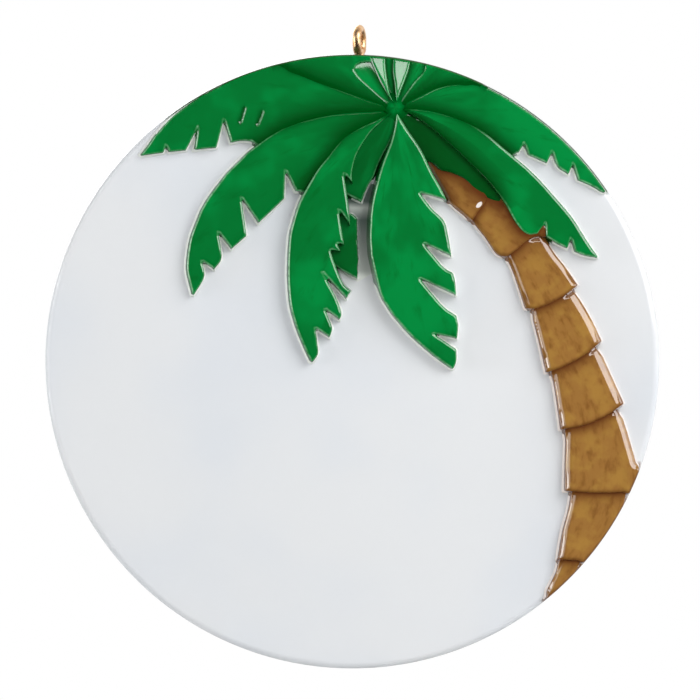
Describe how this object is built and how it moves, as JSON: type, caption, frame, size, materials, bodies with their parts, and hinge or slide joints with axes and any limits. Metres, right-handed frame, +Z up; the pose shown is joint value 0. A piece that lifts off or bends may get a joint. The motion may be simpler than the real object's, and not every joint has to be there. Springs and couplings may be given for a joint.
{
  "type": "christmas_ornament",
  "caption": "Flat round white resin ornament with a painted palm tree in raised relief and a gilt screw eye in its rim",
  "frame": {"origin": "the centre of the screw eye's loop, on the axis of its shank", "axes": "+Z is up as the ornament hangs and its longest side; +Y goes through the disc's thickness from the relief to the plain back; +X is to the right seen from the relief side"},
  "size_m": [0.0825, 0.0068, 0.0865],
  "materials": {
    "white_resin": "glossy white cast resin, lacquered",
    "leaf_green": "translucent green paint under clear gloss",
    "leaf_shade": "darker green paint under clear gloss",
    "trunk_brown": "streaked brown paint under clear gloss",
    "eye_brass": "brass-plated wire"
  },
  "bodies": {
    "disc": {"disc_blank": "white_resin", "crown_heart": "leaf_green", "frond_far_left": "leaf_green", "frond_left": "leaf_green", "frond_lower_left": "leaf_green", "frond_behind": "leaf_shade", "frond_behind_tip": "leaf_shade", "frond_centre": "leaf_green", "frond_shaded": "leaf_shade", "frond_right": "leaf_green", "frond_far_right": "leaf_green", "frond_upper_left": "leaf_green", "frond_upper_right": "leaf_green", "top_leaflet_1": "leaf_green", "top_leaflet_2": "leaf_green", "top_leaflet_3": "leaf_green", "top_leaflet_4": "leaf_green", "top_leaflet_5": "leaf_green", "trunk_scale_1": "trunk_brown", "trunk_scale_2": "trunk_brown", "trunk_scale_3": "trunk_brown", "trunk_scale_4": "trunk_brown", "trunk_scale_5": "trunk_brown", "trunk_scale_6": "trunk_brown", "trunk_scale_7": "trunk_brown", "trunk_scale_8": "trunk_brown"},
    "eye": {"screw_eye": "eye_brass"}
  },
  "joints": [
    {"name": "eye_turn", "type": "hinge", "parent": "disc", "child": "eye", "pos_m": [0, 0, 0], "axis": [0, 0, 1], "range_deg": [-90, 90]}
  ]
}
